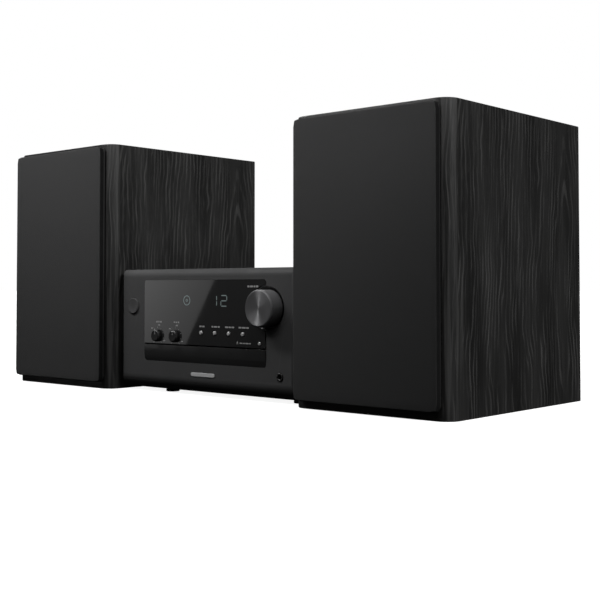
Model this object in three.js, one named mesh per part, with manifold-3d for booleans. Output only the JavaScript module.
// Mini hifi system: a CD receiver between two free-standing two-way bookshelf speakers.
// Millimetres, +X to the listener's right, +Y towards the back, +Z up.
// Origin: on the floor, at the middle of the whole system's box.
import * as THREE from "three";
import { mergeVertices } from "three/addons/utils/BufferGeometryUtils.js";
import Module from "manifold-3d";

const wasm = await Module();
wasm.setup();

// ---------------------------------------------------------------- driving dimensions
const GAP = 0.3; // clearance between pieces that touch on the real object
const ARC = 4; // steps of a quarter-round edge
const ROUND = { large: 24, middle: 16, small: 10 }; // sides of a turned piece or a hole
const SYSTEM = { front: -129, back: 136 }; // y of the cabinets' fronts and of the rearmost socket

// Loudspeakers: every y is counted from the cabinet's front plane.
const SPEAKER = { x: 183.7, width: 145, height: 224, depth: 190, wall: 9, edge: 12 };
const BAFFLE = { half: 60.2, thick: 12 };
const GRILLE = { side: 6.9, bottom: 6.6, top: 3.1, proud: 7, cloth: 0.6, bar: 9, topBar: 14.2, corner: 4 };
const PEG = { x: 50, low: 13, high: 211, radius: 2.4, length: 7 };
const WOOFER = { z: 80, flange: 54, hole: 50.4 };
const TWEETER = { z: 174, flange: 28, hole: 24 };
const PORT = { z: 172, inner: 17, outer: 18.7, flange: 24, start: 120, lip: 2.3 };
const CUP_Z = 62;

// Spring terminals, shared by the speakers and the receiver.
const TERMINAL = { pitch: 20, height: 46, margin: 11, depth: 18, floor: 2, rib: 3, lip: 2 };
const LEVER = { width: 16, pinRadius: 1, pivotY: -12.5, pivotZ: 12, hole: 1.9, holeZ: -9 };

// Receiver.
const UNIT = { half: 105.5, bottom: 3.2, top: 108.4, setback: 9.4, back: 132 };
const PANEL = { wall: 2.5, rim: 14, topEdge: 6, bottomEdge: 8, sideEdge: 4 };
const WINDOW = { left: -73.4, right: 74.7, top: 98.9, bottom: 27.7, split: 42.8, corner: 2.5 };
const VOLUME = { x: 76.8, z: 75.7, radius: 14.9, dish: 18.6, face: 11.7, shaft: 3, stem: 5.4 };
const TONE = { xs: [-55.5, -32.5], z: 50, radius: 5.2, face: 4.4, shaft: 1.5, stem: 2.4 };
const FUNCTION_KEYS = { xs: [-0.2, 16.4, 32.9, 49.2], z: 54, radius: 1.9, proud: 1.2 };
const EJECT_KEY = { x: 68.1, z: 46.9, radius: 1.6, proud: 1.2 };
const POWER_KEY = { x: -88.7, z: 75.8, radius: 7, proud: 1.4 };
const KEY_TRAVEL = 0.8;
const POWER_TRAVEL = 1.5;
const JACK = { x: 89.8, z: 21.2, bore: 1.8, bezel: 3.4, body: 5.5, length: 15 };
const DISPLAY = { left: -30, right: 36, bottom: 70, top: 92, depth: 5 };
const BOARD = { thick: 1.6, z: 8 };
const SHEET = 1.2; // steel of the cover, the base and the rear panel
const FOOT = { front: { xs: [-56.5, 96], y: 18.5 }, rear: { xs: [-88, 88], y: 232 }, radius: 6 };
const COVER_VENT = { count: 10, pitch: 14, width: 4, front: 40, back: 90 };
const REAR_VENT = { count: 8, first: 8, pitch: 10, width: 3.2, bottom: 78, top: 98 };
const AC = { x: 76, z: 30, half: [15, 10], body: [12.2, 7.2], recess: [7.8, 4.3], depth: 22 };
const AC_PIN = { radius: 1.2, pitch: 8.6, length: 14 };
const ANTENNA = { x: -80, z: 84, ring: 6, bore: 4.5, pin: 1.1, depth: 12 };
const REAR_TERMINALS_Z = 40;
const MAIN_BOARD = { left: -99, right: 32, front: 58, back: 110.5 };
const POWER_BOARD = { left: 38, right: 100, front: 58, back: 108.5 };
const HEATSINK = { left: -44, right: 28, front: 96, thick: 3, back: 110, top: 60, fins: 8 };

// Disc drive: every y is counted from the receiver's front face.
const TRAY = { x: 0.6, half: 65, start: 3.2, length: 165, bottom: 30, top: 37, slot: 17 };
const DISC = { y: 73, well: 60.5, floor: 32.2, inner: 40.5, innerFloor: 31.5 };
const RACK = { x: -60.5, width: 3.4, bottom: 28.1, start: 8, teeth: 32 };
const GEAR = { pitch: 12, teeth: 16, y: 22, bottom: 28.1, top: 29.6, bore: 1.8, play: 0.3 };
const FRAME = { floor: 22.4, sheet: 2, wall: 2.4, top: 39, start: 6, length: 169 };
const WELL = { half: 31, front: -26, back: 84 }; // opening for the traverse, from the disc's centre
const TRAVERSE = { half: 28, front: -22, back: 76, bottom: 17, top: 19, rail: 14.5 };
const HUB = { flange: 14, bottom: 27.5, top: 29.5, cone: 7.4, tip: 32, shaft: 1.5 };
const SLED = { half: 13.6, front: 15, length: 22, bottom: 19.6, top: 26, lens: 3.5, lensY: 24 };
const BRIDGE = { bottom: 43.5, top: 45.5, half: 20, hole: 12.8 };
const PUCK = { neck: 12, cap: 15.5, bottom: 36.8, recess: 8.2, recessTop: 38.4, top: 48 };

const PANEL_Y = SYSTEM.front + UNIT.setback;
const PANEL_BACK = PANEL_Y + PANEL.wall;
const TOOTH_PITCH = (2 * Math.PI * GEAR.pitch) / GEAR.teeth;

// ---------------------------------------------------------------- materials
const paint = (color, roughness, metalness = 0) =>
  new THREE.MeshStandardMaterial({ color, roughness, metalness });
const materials = {
  blackAsh: paint(0x1e1d1c, 0.5),
  baffleBlack: paint(0x151515, 0.7),
  grilleFrame: paint(0x0c0c0c, 0.6),
  grilleCloth: paint(0x262627, 0.95),
  cone: paint(0x17181a, 0.6),
  basket: paint(0x3a3a3c, 0.45, 0.8),
  panel: paint(0x2c2c2d, 0.45),
  gloss: paint(0x070708, 0.08),
  cover: paint(0x1a1a1b, 0.5, 0.4),
  zinc: paint(0xa5a8aa, 0.4, 0.9),
  rubber: paint(0x101010, 0.9),
  plastic: paint(0x121212, 0.5),
  grey: paint(0x55575a, 0.55),
  white: paint(0xc9c9c4, 0.5),
  knob: paint(0x303033, 0.35, 0.7),
  board: paint(0x1f4a2c, 0.5),
  red: paint(0xa01818, 0.45),
  nickel: paint(0xb9b6ae, 0.3, 0.95),
};

// ---------------------------------------------------------------- solids
// A closed three.js geometry as a manifold-3d solid.
function solid(geometry) {
  const plain = geometry.index ? geometry.toNonIndexed() : geometry.clone();
  for (const name of ["normal", "uv"]) plain.deleteAttribute(name);
  const merged = mergeVertices(plain, 1e-4);
  const corners = merged.index.array;
  const kept = [];
  for (let i = 0; i < corners.length; i += 3) {
    const [a, b, c] = [corners[i], corners[i + 1], corners[i + 2]];
    if (a !== b && b !== c && c !== a) kept.push(a, b, c);
  }
  const vertProperties = new Float32Array(merged.attributes.position.array);
  const triVerts = new Uint32Array(kept);
  return new wasm.Manifold(new wasm.Mesh({ numProp: 3, vertProperties, triVerts }));
}

// A box between two opposite corners.
function block([x0, y0, z0], [x1, y1, z1]) {
  const geometry = new THREE.BoxGeometry(x1 - x0, y1 - y0, z1 - z0);
  return solid(geometry.translate((x0 + x1) / 2, (y0 + y1) / 2, (z0 + z1) / 2));
}

// A round bar about its centre, along x, y or z.
function rod(radius, [x, y, z], length, axis = "y", sides = ROUND.middle) {
  const geometry = new THREE.CylinderGeometry(radius, radius, length, sides);
  if (axis === "x") geometry.rotateZ(Math.PI / 2);
  if (axis === "z") geometry.rotateX(Math.PI / 2);
  return solid(geometry.translate(x, y, z));
}

// A profile of [radius, y] points turned about the Y axis. It starts and ends on the axis, or closes.
function turned(profile, sides = ROUND.large) {
  const points = profile.map(([radius, y]) => new THREE.Vector2(radius, y));
  const onAxis = points[0].x === 0 && points[points.length - 1].x === 0;
  if (!onAxis) points.push(points[0].clone());
  const made = solid(new THREE.LatheGeometry(points, sides));
  return made.volume() > 0 ? made : solid(new THREE.LatheGeometry(points.reverse(), sides));
}

const depthOnly = (depth) => ({ depth, bevelEnabled: false, curveSegments: ARC });

// An outline in x and y, raised from z0 to z1.
function raised(shape, z0, z1) {
  return solid(new THREE.ExtrudeGeometry(shape, depthOnly(z1 - z0)).translate(0, 0, z0));
}

// An outline in x and z, carried back from y0 to y1.
function carried(shape, y0, y1) {
  const geometry = new THREE.ExtrudeGeometry(shape, depthOnly(y1 - y0));
  return solid(geometry.rotateX(Math.PI / 2).translate(0, y1, 0));
}

// An outline in y and z, run across from x0 to x1.
function crossed(shape, x0, x1) {
  const [alongY, alongZ, alongX] = [[0, 1, 0], [0, 0, 1], [1, 0, 0]].map((v) => new THREE.Vector3(...v));
  const geometry = new THREE.ExtrudeGeometry(shape, depthOnly(x1 - x0));
  const turn = new THREE.Matrix4().makeBasis(alongY, alongZ, alongX);
  return solid(geometry.applyMatrix4(turn).translate(x0, 0, 0));
}

const outline = (points) => new THREE.Shape(points.map(([a, b]) => new THREE.Vector2(a, b)));

// A rectangle with a radius of its own at each corner: low-low, high-low, high-high, low-high.
function rounded(a0, b0, a1, b1, radii) {
  const [r0, r1, r2, r3] = Array.isArray(radii) ? radii : [radii, radii, radii, radii];
  const quarter = Math.PI / 2;
  const shape = new THREE.Shape();
  shape.moveTo(a0 + r0, b0);
  shape.lineTo(a1 - r1, b0);
  if (r1) shape.absarc(a1 - r1, b0 + r1, r1, -quarter, 0, false);
  shape.lineTo(a1, b1 - r2);
  if (r2) shape.absarc(a1 - r2, b1 - r2, r2, 0, quarter, false);
  shape.lineTo(a0 + r3, b1);
  if (r3) shape.absarc(a0 + r3, b1 - r3, r3, quarter, 2 * quarter, false);
  shape.lineTo(a0, b0 + r0);
  if (r0) shape.absarc(a0 + r0, b0 + r0, r0, 2 * quarter, 3 * quarter, false);
  return shape;
}

const cut = (body, ...tools) => tools.reduce((left, tool) => left.subtract(tool), body);
const join = (...bodies) => bodies.reduce((all, body) => all.add(body));

// A named mesh of a solid, at its place in the group that holds it.
function piece(name, material, body, place = [0, 0, 0]) {
  const { vertProperties, triVerts } = body.getMesh();
  const geometry = new THREE.BufferGeometry()
    .setAttribute("position", new THREE.BufferAttribute(vertProperties, 3))
    .setIndex(new THREE.BufferAttribute(triVerts, 1));
  geometry.computeVertexNormals();
  const mesh = new THREE.Mesh(geometry, material);
  mesh.name = name;
  mesh.position.set(...place);
  return mesh;
}

function groupAt(place, meshes) {
  const made = new THREE.Group();
  made.position.set(...place);
  made.add(...meshes);
  return made;
}

// ---------------------------------------------------------------- spring terminals
// Both blocks are counted from the middle of the wall they sit in: +y out of the wall.
const terminalXs = (count) =>
  Array.from({ length: count }, (_, i) => (i - (count - 1) / 2) * TERMINAL.pitch);

// A recessed block with a rib on each side of every lever and a wire hole under it.
function terminalBlock(count) {
  const { pitch, height, margin, depth, floor, rib, lip } = TERMINAL;
  const half = (count * pitch) / 2 + margin;
  const plate = carried(rounded(-half, -height / 2, half, height / 2, 3), GAP, GAP + lip);
  const bucketHalf = [half - 3, height / 2 - 3];
  const bucket = block([-bucketHalf[0], -depth, -bucketHalf[1]], [bucketHalf[0], 1, bucketHalf[1]]);
  const inner = [bucketHalf[0] - floor, bucketHalf[1] - floor];
  const recess = block([-inner[0], floor - depth, -inner[1]], [inner[0], lip + 1, inner[1]]);
  const made = cut(join(plate, bucket), recess);
  const ribAt = (x) =>
    block([x - rib / 2, floor / 2 - depth, 4], [x + rib / 2, LEVER.pivotY + 3, inner[1] + 1]);
  const edges = Array.from({ length: count + 1 }, (_, i) => (i - count / 2) * pitch);
  const pinHole = rod(LEVER.pinRadius + GAP, [0, LEVER.pivotY, LEVER.pivotZ], 2 * inner[0] - 2, "x", 8);
  const wireHoles = terminalXs(count).map((x) =>
    rod(LEVER.hole, [x, -depth, LEVER.holeZ], 12, "y", ROUND.small),
  );
  return cut(join(made, ...edges.map(ribAt)), pinHole, ...wireHoles);
}

// A tab that slopes out from its pins, counted from the pins' axis.
function terminalLever() {
  const tab = [[-1.9, -1], [9.2, -15.6], [11.2, -14.2], [2.2, 0.6], [0.6, 2.1], [-1.3, 1.5]];
  const { width, pinRadius } = LEVER;
  const pins = rod(pinRadius, [0, 0, 0], width + 2.4, "x", 8);
  return join(crossed(outline(tab), -width / 2, width / 2), pins);
}

const leverPlace = (x, wallY, z) => [x, wallY + LEVER.pivotY, z + LEVER.pivotZ];

// ---------------------------------------------------------------- loudspeaker
// x from the cabinet's middle, y from its front plane, z from the floor.
function cabinet() {
  const { width, height, depth, wall, edge } = SPEAKER;
  const half = width / 2;
  const shell = raised(rounded(-half, 0, half, depth, [edge, edge, 0, 0]), 0, height);
  const room = block([wall - half, BAFFLE.thick, wall], [half - wall, depth - wall, height - wall]);
  const mouthHalf = BAFFLE.half + GAP;
  const mouth = block([-mouthHalf, -1, wall], [mouthHalf, BAFFLE.thick + 1, height - wall]);
  const portHole = rod(PORT.outer + GAP, [0, depth, PORT.z], 3 * wall, "y", ROUND.large);
  const cupHalf = [TERMINAL.pitch + TERMINAL.margin - 3 + GAP, TERMINAL.height / 2 - 3 + GAP];
  const cupHole = block(
    [-cupHalf[0], depth - 2 * wall, CUP_Z - cupHalf[1]],
    [cupHalf[0], depth + 1, CUP_Z + cupHalf[1]],
  );
  return cut(shell, room, mouth, portHole, cupHole);
}

// A place for each grille peg, in x and z.
const pegPlaces = [-PEG.x, PEG.x].flatMap((x) => [PEG.low, PEG.high].map((z) => [x, z]));

function frontBaffle() {
  const low = SPEAKER.wall + GAP;
  const board = block([-BAFFLE.half, 0, low], [BAFFLE.half, BAFFLE.thick - GAP, SPEAKER.height - low]);
  const wooferHole = rod(WOOFER.hole, [0, 6, WOOFER.z], 40, "y", ROUND.large);
  const tweeterHole = rod(TWEETER.hole, [0, 6, TWEETER.z], 40, "y", ROUND.large);
  const sockets = pegPlaces.map(([x, z]) => rod(PEG.radius + GAP, [x, 4, z], 10, "y", ROUND.small));
  return cut(board, wooferHole, tweeterHole, ...sockets);
}

function grilleFrame() {
  const half = SPEAKER.width / 2 - GRILLE.side;
  const top = SPEAKER.height - GRILLE.top;
  const front = GRILLE.cloth + GAP - GRILLE.proud;
  const rim = carried(rounded(-half, GRILLE.bottom, half, top, GRILLE.corner), front, -GAP);
  const bar = GRILLE.bar;
  const inside = block([bar - half, -9, GRILLE.bottom + bar], [half - bar, 1, top - GRILLE.topBar]);
  const pegLength = PEG.length + 1;
  const pegs = pegPlaces.map(([x, z]) =>
    rod(PEG.radius, [x, pegLength / 2 - 1, z], pegLength, "y", ROUND.small),
  );
  return join(cut(rim, inside), ...pegs);
}

function grilleCloth() {
  const half = SPEAKER.width / 2 - GRILLE.side;
  const face = rounded(-half, GRILLE.bottom, half, SPEAKER.height - GRILLE.top, GRILLE.corner);
  return carried(face, -GRILLE.proud, GRILLE.cloth - GRILLE.proud);
}

function wooferBody() {
  const flange = [[48.5, -3], [WOOFER.flange, -3], [WOOFER.flange, -GAP], [50, -GAP]];
  const outside = [[50, 8], [31, 30], [36, 30], [36, 48], [0, 48]];
  const inside = [[0, 27], [28, 27], [47, 7], [48.5, 5]];
  return turned([...flange, ...outside, ...inside]);
}

// Surround, cone, dust cap and voice coil former, which move as one.
function wooferCone() {
  const front = [[48, 0.4], [46, -2.4], [42, -2.4], [40, 0.4], [15, 17], [8, 13.2], [0, 12]];
  const back = [[0, 13.6], [12, 17.8], [12, 24], [13.5, 24], [13.5, 19.6], [40, 2.2], [44, -0.6], [48, 2.2]];
  return turned([...front, ...back]);
}

function tweeter() {
  const dome = [[0, -4.6], [7, -3.4], [12.5, 0.6], [14, -0.5], [22, -3]];
  const rim = [[TWEETER.flange, -3], [TWEETER.flange, -GAP], [TWEETER.hole - 1, -GAP]];
  return turned([...dome, ...rim, [TWEETER.hole - 1, 27], [0, 27]]);
}

function portTube() {
  const wall = SPEAKER.depth + GAP;
  const { inner, outer, flange, start, lip } = PORT;
  const flare = [[inner, start], [inner, wall - 5], [inner + 1, wall], [inner + 3, wall + lip]];
  return turned([...flare, [flange, wall + lip], [flange, wall], [outer, wall], [outer, start]]);
}

function loudspeaker(side, x) {
  const back = SPEAKER.depth;
  const [left, right] = terminalXs(2);
  return groupAt([x, SYSTEM.front, 0], [
    piece(`${side}_cabinet`, materials.blackAsh, cabinet()),
    piece(`${side}_front_baffle`, materials.baffleBlack, frontBaffle()),
    piece(`${side}_grille_frame`, materials.grilleFrame, grilleFrame()),
    piece(`${side}_grille_cloth`, materials.grilleCloth, grilleCloth()),
    piece(`${side}_woofer`, materials.basket, wooferBody(), [0, 0, WOOFER.z]),
    piece(`${side}_woofer_cone`, materials.cone, wooferCone(), [0, 0, WOOFER.z]),
    piece(`${side}_tweeter`, materials.basket, tweeter(), [0, 0, TWEETER.z]),
    piece(`${side}_port_tube`, materials.plastic, portTube(), [0, 0, PORT.z]),
    piece(`${side}_terminal_cup`, materials.plastic, terminalBlock(2), [0, back, CUP_Z]),
    piece(`${side}_lever_red`, materials.red, terminalLever(), leverPlace(left, back, CUP_Z)),
    piece(`${side}_lever_black`, materials.plastic, terminalLever(), leverPlace(right, back, CUP_Z)),
  ]);
}

// ---------------------------------------------------------------- receiver: casing
const knobHole = (knob) => rod(knob.stem + GAP, [knob.x, PANEL_Y, knob.z], 30);
const keyHole = (key, x) => rod(key.radius + GAP, [x, PANEL_Y, key.z], 30, "y", ROUND.small);

// A moulded shell, open at the back, with the dish round the volume knob moulded in.
function frontPanel() {
  const { wall, rim, topEdge, bottomEdge, sideEdge } = PANEL;
  const { half, bottom, top } = UNIT;
  const back = PANEL_Y + rim;
  const side = rounded(PANEL_Y, bottom, back, top, [bottomEdge, 0, 0, topEdge]);
  const plan = rounded(-half, PANEL_Y, half, back, [sideEdge, sideEdge, 0, 0]);
  const shell = crossed(side, -half, half).intersect(raised(plan, bottom, top));
  const insideLow = bottom + wall;
  const insideTop = top - wall;
  const pocket = rounded(PANEL_BACK, insideLow, back + 1, insideTop, [bottomEdge - 2, 0, 0, topEdge - 2]);
  const hollow = crossed(pocket, wall - half, half - wall);
  const opening = carried(
    rounded(WINDOW.left, WINDOW.bottom, WINDOW.right, WINDOW.top, WINDOW.corner),
    PANEL_Y - 1,
    PANEL_BACK + 1,
  );
  const lipRadius = VOLUME.dish - 0.9;
  const dish = rod(VOLUME.dish, [VOLUME.x, PANEL_Y + 2, VOLUME.z], 4, "y", ROUND.large);
  const bowl = turned([[0, -9], [lipRadius, -9], [lipRadius, 0], [VOLUME.radius, 2.4], [0, 2.4]]);
  const dishHollow = bowl.translate([VOLUME.x, PANEL_Y, VOLUME.z]);
  const jackHole = rod(JACK.bezel + GAP, [JACK.x, PANEL_Y, JACK.z], 12);
  const powerHole = rod(POWER_KEY.radius + GAP, [POWER_KEY.x, PANEL_Y, POWER_KEY.z], 30);
  const made = cut(join(cut(shell, hollow, opening), dish), dishHollow);
  return cut(made, knobHole(VOLUME), powerHole, jackHole);
}

// Gloss front over the display, with a lip behind the panel.
function displayWindow() {
  const { left, right, top, split, corner } = WINDOW;
  const clear = GAP / 2;
  const face = rounded(left + clear, split + clear, right - clear, top - clear, [0, 0, corner, corner]);
  const pane = carried(face, PANEL_Y - 0.6, PANEL_BACK + 0.6);
  const dish = rod(VOLUME.dish + GAP, [VOLUME.x, PANEL_Y, VOLUME.z], 20, "y", ROUND.large);
  const toneHoles = TONE.xs.map((x) => knobHole({ ...TONE, x }));
  const keyHoles = FUNCTION_KEYS.xs.map((x) => keyHole(FUNCTION_KEYS, x));
  return cut(pane, dish, ...toneHoles, ...keyHoles, keyHole(EJECT_KEY, EJECT_KEY.x));
}

function topCover() {
  const side = UNIT.half - 0.5;
  const front = PANEL_Y + PANEL.rim + GAP;
  const back = UNIT.back - SHEET - GAP;
  const low = UNIT.bottom + SHEET + GAP;
  const shell = block([-side, front, low], [side, back, UNIT.top]);
  const hollow = block([SHEET - side, front - 1, low - 1], [side - SHEET, back + 1, UNIT.top - SHEET]);
  const vent = COVER_VENT;
  const slots = Array.from({ length: vent.count }, (_, i) => {
    const x = (i - (vent.count - 1) / 2) * vent.pitch;
    const halfWidth = vent.width / 2;
    return block([x - halfWidth, vent.front, UNIT.top - 4], [x + halfWidth, vent.back, UNIT.top + 1]);
  });
  return cut(shell, hollow, ...slots);
}

// Posts under the corners of both boards.
const boardPosts = [MAIN_BOARD, POWER_BOARD].flatMap(({ left, right, front, back }) =>
  [left + 5, right - 5].flatMap((x) => [front + 5, back - 5].map((y) => [x, y])),
);

function chassisBase() {
  const side = UNIT.half - 0.5;
  const inner = side - SHEET - GAP;
  const front = PANEL_Y + PANEL.rim + GAP;
  const floorTop = UNIT.bottom + SHEET;
  const sheet = block([-side, front, UNIT.bottom], [side, UNIT.back, floorTop]);
  const flangeBack = UNIT.back - SHEET - GAP;
  const flange = block([-inner, front, UNIT.bottom], [inner, flangeBack, UNIT.bottom + 14]);
  const hollow = block([SHEET - inner, front - 1, floorTop], [inner - SHEET, flangeBack + 1, UNIT.top]);
  const postHeight = BOARD.z - GAP - UNIT.bottom;
  const middle = UNIT.bottom + postHeight / 2;
  const posts = boardPosts.map(([x, y]) => rod(2.5, [x, y, middle], postHeight, "z", ROUND.small));
  return join(sheet, cut(flange, hollow), ...posts);
}

function rearPanel() {
  const half = UNIT.half - 0.5;
  const low = UNIT.bottom + SHEET + GAP;
  const sheet = block([-half, UNIT.back - SHEET, low], [half, UNIT.back, UNIT.top]);
  const [acX, acZ] = [AC.body[0] + GAP, AC.body[1] + GAP];
  const acHole = block([AC.x - acX, UNIT.back - 5, AC.z - acZ], [AC.x + acX, UNIT.back + 1, AC.z + acZ]);
  const blockHalf = [2 * TERMINAL.pitch + TERMINAL.margin - 3 + GAP, TERMINAL.height / 2 - 3 + GAP];
  const blockHole = block(
    [-blockHalf[0], UNIT.back - 5, REAR_TERMINALS_Z - blockHalf[1]],
    [blockHalf[0], UNIT.back + 1, REAR_TERMINALS_Z + blockHalf[1]],
  );
  const antennaHole = rod(ANTENNA.ring + GAP, [ANTENNA.x, UNIT.back, ANTENNA.z], 8);
  const vents = Array.from({ length: REAR_VENT.count }, (_, i) => {
    const x = REAR_VENT.first + i * REAR_VENT.pitch;
    const halfWidth = REAR_VENT.width / 2;
    return block([x - halfWidth, 120, REAR_VENT.bottom], [x + halfWidth, 140, REAR_VENT.top]);
  });
  return cut(sheet, acHole, blockHole, antennaHole, ...vents);
}

const foot = () => rod(FOOT.radius, [0, 0, (UNIT.bottom - GAP) / 2], UNIT.bottom - GAP, "z");

// ---------------------------------------------------------------- receiver: sockets
function headphoneJack() {
  const { bore, bezel, body, length } = JACK;
  const bush = rod(bezel, [0, 2, 0], 5.2);
  const housing = block([-body, PANEL.wall + GAP, -body], [body, length, body]);
  return cut(join(bush, housing), rod(bore, [0, 4, 0], 18, "y", ROUND.small));
}

// A figure-of-eight mains inlet with two pins, counted from the rear panel's outer face.
function acInlet() {
  const { half, body, recess, depth } = AC;
  const { radius, pitch, length } = AC_PIN;
  const plate = block([-half[0], GAP, -half[1]], [half[0], 2.4, half[1]]);
  const housing = block([-body[0], -depth, -body[1]], [body[0], 1, body[1]]);
  const mouth = carried(rounded(-recess[0], -recess[1], recess[0], recess[1], recess[1] - 0.2), -length, 3);
  const pins = [-pitch / 2, pitch / 2].map((x) => rod(radius, [x, -9, 0], length, "y", ROUND.small));
  return join(cut(join(plate, housing), mouth), ...pins);
}

// A coaxial aerial socket, counted from the rear panel's outer face.
function antennaSocket() {
  const { ring, bore, pin, depth } = ANTENNA;
  const out = SYSTEM.back - UNIT.back;
  const inside = [[bore, out], [bore, 4 - depth], [0, 4 - depth]];
  const barrel = turned([[0, -depth], [ring, -depth], [ring, out], ...inside], ROUND.middle);
  return join(barrel, rod(pin, [0, -4, 0], depth, "y", ROUND.small));
}

// ---------------------------------------------------------------- receiver: boards
const boardSheet = ({ left, right, front, back }) =>
  block([left, front, BOARD.z], [right, back, BOARD.z + BOARD.thick]);

// Amplifier board with its heatsink and smoothing capacitors.
function mainBoard() {
  const { left, right, front, thick, back, top, fins } = HEATSINK;
  const low = BOARD.z + BOARD.thick - 0.4;
  const plate = block([left, front, low], [right, front + thick, top]);
  const pitch = (right - left - 4) / (fins - 1);
  const finBlocks = Array.from({ length: fins }, (_, i) => {
    const x = left + 1 + i * pitch;
    return block([x, front + thick - 1, low + 3], [x + 2, back, top]);
  });
  const cans = [-86, -66].map((x) => rod(8, [x, 74, low + 15], 30, "z"));
  return join(boardSheet(MAIN_BOARD), plate, ...finBlocks, ...cans);
}

// Mains board with its transformer.
function powerBoard() {
  const low = BOARD.z + BOARD.thick - 0.4;
  const core = block([50, 64, low], [92, 104, low + 34]);
  const coil = block([56, 60, low + 5], [86, 108, low + 28]);
  return join(boardSheet(POWER_BOARD), core, coil);
}

// Board behind the window: display, tone pots, volume encoder and key switches.
function frontBoard() {
  const face = PANEL_Y + 12;
  const sheet = block([-98, face, 44.2], [99, face + BOARD.thick, 101]);
  const module = block(
    [DISPLAY.left, face - DISPLAY.depth, DISPLAY.bottom],
    [DISPLAY.right, face + 0.4, DISPLAY.top],
  );
  const knobs = [VOLUME, ...TONE.xs.map((x) => ({ ...TONE, x }))];
  const drives = knobs.flatMap(({ x, z, shaft, face: proud, stem }) => {
    const reach = stem + 1;
    const housing = block([x - reach, PANEL_Y + 6, z - reach], [x + reach, face + 0.4, z + reach]);
    const tip = PANEL_Y - proud + 2.2;
    return [housing, rod(shaft, [x, (tip + face) / 2, z], face - tip, "y", ROUND.small)];
  });
  const keys = [...FUNCTION_KEYS.xs.map((x) => ({ ...FUNCTION_KEYS, x })), EJECT_KEY];
  const start = PANEL_BACK + 2.8 + KEY_TRAVEL;
  const switches = keys.map(({ x, z }) => block([x - 2, start + 1, z - 2], [x + 2, face + 0.4, z + 2]));
  const { x, z } = POWER_KEY;
  const power = block([x - 5, PANEL_BACK + 4.4 + POWER_TRAVEL, z - 5], [x + 5, face + 0.4, z + 5]);
  return join(sheet, module, ...drives, ...switches, power);
}

// ---------------------------------------------------------------- receiver: controls
// A knob with a blind bore for its shaft, counted from the receiver's front face.
function knob({ radius, face, shaft, stem }, bevel, skirt) {
  const front = -face;
  const outside = [[0, front], [radius - bevel, front], [radius, front + bevel], [radius, skirt]];
  const bore = shaft + GAP;
  const inside = [[stem, skirt], [stem, 4.6], [bore, 4.6], [bore, front + 1.8], [0, front + 1.8]];
  return turned([...outside, ...inside], radius > 10 ? ROUND.large : ROUND.middle);
}

function toneKnob() {
  const mark = block([-0.35, -TONE.face - 1, 1.2], [0.35, 0.4 - TONE.face, TONE.radius + 1]);
  return cut(knob(TONE, 0.6, -1.2), mark);
}

// A key with a flange that stops it behind the wall it comes through.
function key({ radius, proud }, flange, length) {
  const stop = PANEL.wall + 0.9;
  const head = [[0, -proud], [radius - 0.4, -proud], [radius, 0.4 - proud], [radius, stop]];
  const tail = [[radius + flange, stop], [radius + flange, stop + length], [0, stop + length]];
  return turned([...head, ...tail], radius > 5 ? ROUND.middle : ROUND.small);
}

// ---------------------------------------------------------------- receiver: disc drive
// x from the tray's middle, y from the receiver's front face, z from the floor.
function discTray() {
  const { half, start, length, bottom, top, slot } = TRAY;
  const plan = rounded(-half, start, half, start + length, 2);
  const { y, well, floor, inner, innerFloor } = DISC;
  const bigWell = rod(well, [0, y, floor + 10], 20, "z", 36);
  const smallWell = rod(inner, [0, y, innerFloor + 10], 20, "z", ROUND.large);
  const way = raised(rounded(-slot, y - slot, slot, start + length + 9, [slot, slot, 0, 0]), 0, 60);
  const { x, width, bottom: rackLow } = RACK;
  const rackStart = start + RACK.start;
  const rackEnd = rackStart + RACK.teeth * TOOTH_PITCH;
  const rail = block([x, rackStart, rackLow], [x + width, rackEnd, bottom + 1]);
  return join(cut(raised(plan, bottom, top), bigWell, smallWell, way), rail, rackTeeth());
}

// Teeth along +x of the rack, one of them facing the gear's centre.
function rackTeeth() {
  const { x, width, bottom, start, teeth } = RACK;
  const root = x + width;
  const first = Math.ceil((TRAY.start + start - GEAR.y) / TOOTH_PITCH + 0.5);
  const profile = (y) => [[root - 0.5, y - 1.05], [root, y - 1.05], [root + 2, y - 0.5], [root + 2, y + 0.5],
    [root, y + 1.05], [root - 0.5, y + 1.05]];
  const centres = Array.from({ length: teeth - 1 }, (_, i) => GEAR.y + (first + i) * TOOTH_PITCH);
  return join(...centres.map((y) => raised(outline(profile(y)), bottom, GEAR.top)));
}

const rackPitchX = RACK.x + RACK.width + 1.1;
const gearX = rackPitchX + GEAR.pitch + GEAR.play;

// Counted from its own pin, with a gap between teeth facing the rack.
function loadingGear() {
  const { pitch, teeth, bottom, top, bore } = GEAR;
  const [root, tip] = [pitch - 1.3, pitch + 0.8];
  const step = (2 * Math.PI) / teeth;
  const corners = [[root, -0.24], [tip, -0.11], [tip, 0.11], [root, 0.24]];
  const points = Array.from({ length: teeth }, (_, i) => Math.PI + (i + 0.5) * step).flatMap((middle) =>
    corners.map(([radius, share]) => {
      const angle = middle + share * step;
      return [radius * Math.cos(angle), radius * Math.sin(angle)];
    }),
  );
  return cut(raised(outline(points), bottom, top), rod(bore, [0, 0, 30], 40, "z", ROUND.small));
}

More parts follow.
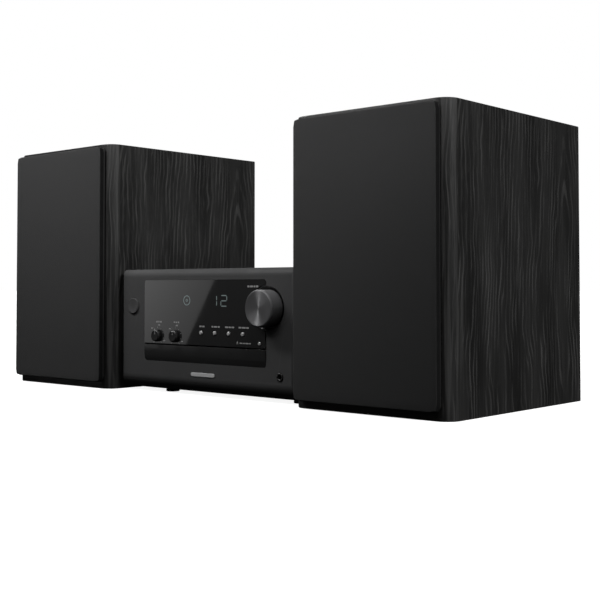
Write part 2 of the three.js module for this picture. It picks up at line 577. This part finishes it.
function loaderFrame() {
  const { floor, sheet, wall, top, start, length } = FRAME;
  const inner = TRAY.half + 0.6;
  const outer = inner + wall;
  const tub = block([-outer, start, floor], [outer, start + length, top]);
  const channel = block([-inner, start - 1, floor + sheet], [inner, start + length + 1, top + 1]);
  const opening = block([-WELL.half, DISC.y + WELL.front, 0], [WELL.half, DISC.y + WELL.back, top]);
  const pinTop = GEAR.top - 0.4;
  const pinZ = (floor + pinTop) / 2;
  const pin = rod(GEAR.bore - GAP, [gearX, GEAR.y, pinZ], pinTop - floor, "z", ROUND.small);
  const legHeight = floor + 0.5 - UNIT.bottom - SHEET - GAP;
  const legZ = floor + 0.5 - legHeight / 2;
  const legs = [-outer + 5, outer - 5].flatMap((x) =>
    [start + 22, start + length - 8].map((y) => rod(4, [x, y, legZ], legHeight, "z", ROUND.small)),
  );
  return join(cut(tub, channel, opening), pin, ...legs);
}

// A plate with the spindle motor and the sled's two rails.
function traversePlate() {
  const { half, front, back, bottom, top, rail } = TRAVERSE;
  const { y } = DISC;
  const sheet = block([-half, y + front, bottom], [half, y + back, top]);
  const motor = rod(12, [0, y, (top + 26.5) / 2 - 0.2], 26.9 - top, "z");
  const rails = [-1, 1].map((side) => {
    const [near, far] = [side * rail, side * (rail + 3)].sort((a, b) => a - b);
    return block([near, y + SLED.front, top - 0.4], [far, y + back - 2, 24]);
  });
  return cut(join(sheet, motor, ...rails), rod(HUB.shaft + GAP, [0, y, 26], 12, "z", ROUND.small));
}

// Turned profiles of the drive run along z: y of the profile is the height.
const standing = (profile) => turned(profile, ROUND.middle).rotate([90, 0, 0]);

function turntable() {
  const { flange, bottom, top, cone, tip, shaft } = HUB;
  const hub = [[0, tip], [cone - 2, tip], [cone, tip - 1.6], [cone, top], [flange, top], [flange, bottom]];
  return standing([...hub, [shaft, bottom], [shaft, 21], [0, 21]]);
}

function pickupSled() {
  const { half, front, length, bottom, top, lens, lensY } = SLED;
  const body = block([-half, front, bottom], [half, front + length, top]);
  const turret = block([-7, lensY - 6, top - 0.4], [7, lensY + 6, top + 1.4]);
  return join(body, turret, rod(lens, [0, lensY, top + 1.6], 2, "z", ROUND.small));
}

function clampBridge() {
  const { bottom, top, half, hole } = BRIDGE;
  const outer = TRAY.half + 3;
  const beam = block([-outer, -half, bottom], [outer, half, top]);
  const legs = [[-outer, -outer + 2.4], [outer - 2.4, outer]].map(([x0, x1]) =>
    block([x0, -half, FRAME.top + GAP], [x1, half, top]),
  );
  return cut(join(beam, ...legs), rod(hole, [0, 0, top], 20, "z"));
}

function clampPuck() {
  const { neck, cap, bottom, recess, recessTop, top } = PUCK;
  const seat = BRIDGE.top + GAP;
  const under = [[0, recessTop], [recess, recessTop], [recess, bottom], [neck, bottom], [neck, seat]];
  return standing([...under, [cap, seat], [cap, top - 0.6], [cap - 1, top], [0, top]]);
}

function trayFascia() {
  const { left, right, bottom, split, corner } = WINDOW;
  const clear = GAP / 2;
  const face = rounded(left + clear, bottom + clear, right - clear, split - clear, [corner, corner, 0, 0]);
  const plate = carried(face, PANEL_Y - 0.6, PANEL_BACK + 0.4);
  const [front, low, high] = [PANEL_Y - 2, bottom - 8, bottom + 5];
  const chamfer = [[front, low], [PANEL_Y + 0.5, low], [PANEL_Y - 0.6, high], [front, high]];
  return cut(plate, crossed(outline(chamfer), left - 1, right + 1));
}

// ---------------------------------------------------------------- assembly
function casing() {
  const feet = ["front", "rear"].flatMap((end) =>
    ["left", "right"].map((side, i) => {
      const place = [FOOT[end].xs[i], PANEL_Y + FOOT[end].y, 0];
      return piece(`foot_${end}_${side}`, materials.rubber, foot(), place);
    }),
  );
  return [
    piece("front_panel", materials.panel, frontPanel()),
    piece("display_window", materials.gloss, displayWindow()),
    piece("top_cover", materials.cover, topCover()),
    piece("chassis_base", materials.zinc, chassisBase()),
    piece("rear_panel", materials.cover, rearPanel()),
    ...feet,
  ];
}

function sockets() {
  const names = ["left_red", "left_black", "right_red", "right_black"];
  const levers = terminalXs(4).map((x, i) => {
    const material = i % 2 ? materials.plastic : materials.red;
    return piece(`lever_${names[i]}`, material, terminalLever(), leverPlace(x, UNIT.back, REAR_TERMINALS_Z));
  });
  return [
    piece("headphone_jack", materials.plastic, headphoneJack(), [JACK.x, PANEL_Y, JACK.z]),
    piece("ac_inlet", materials.plastic, acInlet(), [AC.x, UNIT.back, AC.z]),
    piece("antenna_socket", materials.nickel, antennaSocket(), [ANTENNA.x, UNIT.back, ANTENNA.z]),
    piece("speaker_terminal_block", materials.plastic, terminalBlock(4), [0, UNIT.back, REAR_TERMINALS_Z]),
    ...levers,
  ];
}

function boards() {
  return [
    piece("main_board", materials.board, mainBoard()),
    piece("power_board", materials.board, powerBoard()),
    piece("front_board", materials.board, frontBoard()),
  ];
}

function controls() {
  const at = (x, z) => [x, PANEL_Y, z];
  const toneNames = ["bass_knob", "treble_knob"];
  const keyNames = ["source_button", "play_button", "stop_button", "skip_button"];
  return [
    piece("volume_knob", materials.knob, knob(VOLUME, 0.8, 1.6), at(VOLUME.x, VOLUME.z)),
    ...TONE.xs.map((x, i) => piece(toneNames[i], materials.plastic, toneKnob(), at(x, TONE.z))),
    ...FUNCTION_KEYS.xs.map((x, i) =>
      piece(keyNames[i], materials.nickel, key(FUNCTION_KEYS, 0.8, 1.9), at(x, FUNCTION_KEYS.z)),
    ),
    piece("open_close_button", materials.nickel, key(EJECT_KEY, 0.8, 1.9), at(EJECT_KEY.x, EJECT_KEY.z)),
    piece("power_button", materials.plastic, key(POWER_KEY, 1.2, 3), at(POWER_KEY.x, POWER_KEY.z)),
  ];
}

function discDrive() {
  return [
    piece("loader_frame", materials.grey, loaderFrame()),
    piece("disc_tray", materials.plastic, discTray()),
    piece("loading_gear", materials.white, loadingGear(), [gearX, GEAR.y, 0]),
    piece("traverse_plate", materials.zinc, traversePlate()),
    piece("turntable", materials.plastic, turntable(), [0, DISC.y, 0]),
    piece("pickup_sled", materials.grey, pickupSled(), [0, DISC.y, 0]),
    piece("clamp_bridge", materials.grey, clampBridge(), [0, DISC.y, 0]),
    piece("clamp_puck", materials.white, clampPuck(), [0, DISC.y, 0]),
  ];
}

const group = new THREE.Group();
group.add(groupAt([0, 0, 0], [...casing(), ...sockets(), ...boards(), ...controls()]));
group.add(groupAt([0, 0, 0], [piece("tray_fascia", materials.gloss, trayFascia())]));
group.add(groupAt([TRAY.x, PANEL_Y, 0], discDrive()));
group.add(loudspeaker("left", -SPEAKER.x), loudspeaker("right", SPEAKER.x));

export default group;
